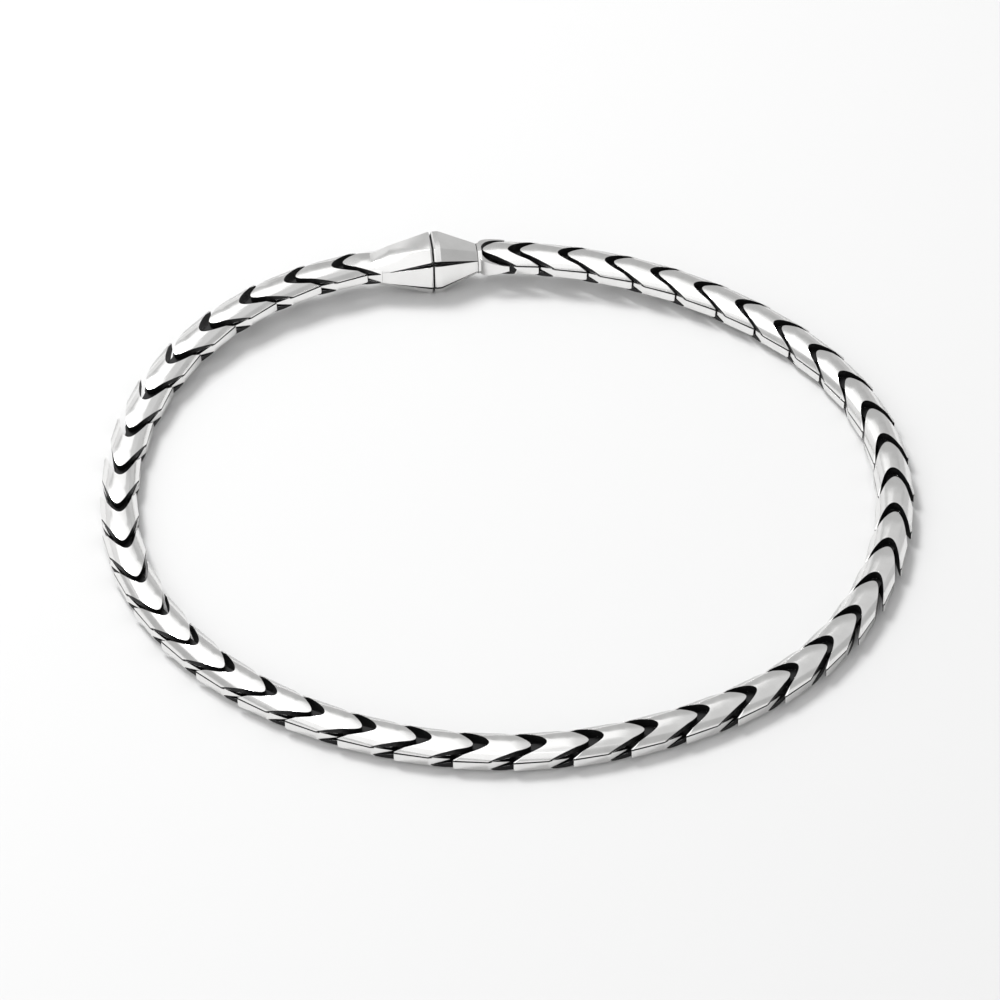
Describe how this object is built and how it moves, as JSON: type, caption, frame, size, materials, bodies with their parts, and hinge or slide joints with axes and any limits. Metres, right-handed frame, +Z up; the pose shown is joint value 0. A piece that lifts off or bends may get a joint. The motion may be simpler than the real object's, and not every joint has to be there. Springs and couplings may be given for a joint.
{
  "type": "snake bracelet",
  "caption": "Closed snake chain bracelet of interlocking arrow-shaped silver links with blackened recesses and a faceted spindle clasp, lying flat",
  "frame": {"origin": "middle of the bounding box, on the table that the bracelet lies on", "axes": "+Z up out of the table, +X along the longer width of the oval, +Y towards the side with the clasp"},
  "size_m": [0.07, 0.0636, 0.0052],
  "materials": {
    "silver": "polished sterling silver with blackened recesses between the petals"
  },
  "bodies": {
    "root": {"link_01": "silver", "link_02": "silver", "link_03": "silver", "link_04": "silver", "link_05": "silver", "link_06": "silver", "link_07": "silver", "link_08": "silver", "link_09": "silver", "link_10": "silver", "link_11": "silver", "link_12": "silver", "link_13": "silver", "link_14": "silver", "link_15": "silver", "link_16": "silver", "link_17": "silver", "link_18": "silver", "link_19": "silver", "link_20": "silver", "link_21": "silver", "link_22": "silver", "link_23": "silver", "link_24": "silver", "link_25": "silver", "link_26": "silver", "link_27": "silver", "link_28": "silver", "link_29": "silver", "link_30": "silver", "link_31": "silver", "link_32": "silver", "link_33": "silver", "link_34": "silver", "link_35": "silver", "link_36": "silver", "link_37": "silver", "link_38": "silver", "link_39": "silver", "link_40": "silver", "link_41": "silver", "link_42": "silver", "clasp_head": "silver", "clasp_tail": "silver"}
  },
  "joints": []
}
